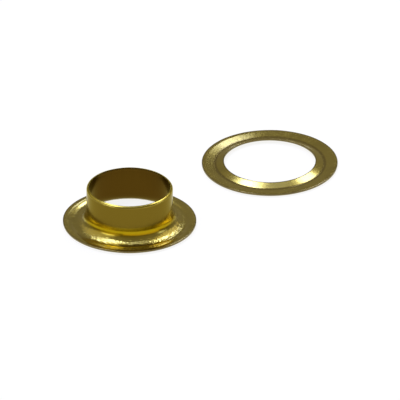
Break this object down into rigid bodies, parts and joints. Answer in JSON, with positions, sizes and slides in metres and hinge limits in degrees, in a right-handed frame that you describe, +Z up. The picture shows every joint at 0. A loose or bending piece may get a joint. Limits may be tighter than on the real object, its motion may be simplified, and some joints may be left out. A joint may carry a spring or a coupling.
{
  "type": "tarpaulin eyelet",
  "caption": "Brass tarpaulin eyelet: a flanged barrel that passes through the cloth, and the loose dished washer that it is closed over.",
  "frame": {"origin": "on the eyelet's axis, in the plane that the flat ring of its flange rests on", "axes": "+Z up along the barrel towards its open mouth; the washer lies beside the eyelet towards +X and +Y, on the same plane"},
  "size_m": [0.0679, 0.0637, 0.0102],
  "materials": {
    "eyelet_brass": "deep-drawn brass, bright on the barrel, finely grained where the flange bends",
    "washer_brass": "pressed brass, satin to bright"
  },
  "bodies": {
    "root": {"eyelet": "eyelet_brass", "washer": "washer_brass"}
  },
  "joints": []
}
